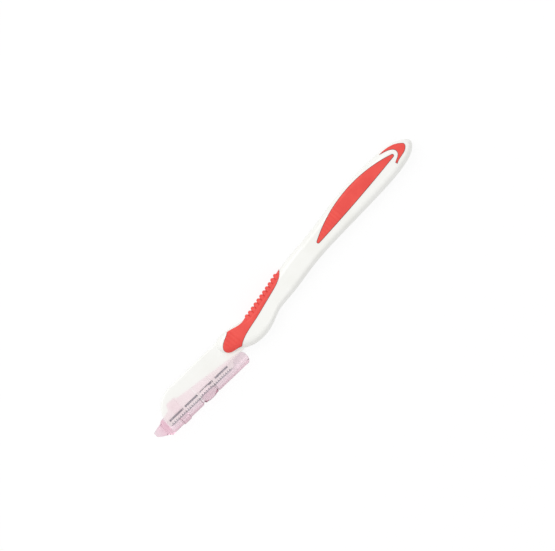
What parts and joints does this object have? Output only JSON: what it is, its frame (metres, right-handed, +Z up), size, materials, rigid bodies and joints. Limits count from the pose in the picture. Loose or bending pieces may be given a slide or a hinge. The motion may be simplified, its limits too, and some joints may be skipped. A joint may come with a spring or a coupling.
{
  "type": "eyebrow razor",
  "caption": "Slim eyebrow razor: white moulded handle with red rubber grips, a guarded steel blade and a clear pink blade cover that slides off.",
  "frame": {"origin": "centre of the footprint, on the surface that the razor lies on", "axes": "+X along the handle towards its tail, +Y across the handle away from the cutting edge, +Z up out of the face shown"},
  "size_m": [0.1502, 0.0172, 0.007],
  "materials": {
    "white_plastic": "white moulded plastic with a soft gloss",
    "red_rubber": "smooth satin red rubber",
    "steel": "fine ground blade steel",
    "pink_clear": "clear pink moulded plastic, polished"
  },
  "bodies": {
    "razor": {"handle_core": "white_plastic", "head_cover": "white_plastic", "blade": "steel", "thumb_grip": "red_rubber", "palm_inlay_front": "red_rubber", "palm_inlay_back": "red_rubber", "tail_inlay_front": "red_rubber", "tail_inlay_back": "red_rubber"},
    "cover": {"blade_cap": "pink_clear"}
  },
  "joints": [
    {"name": "cover_slide", "type": "slide", "parent": "razor", "child": "cover", "axis": [-0.9953, 0.0971, 0], "range_m": [0, 0.046]}
  ]
}
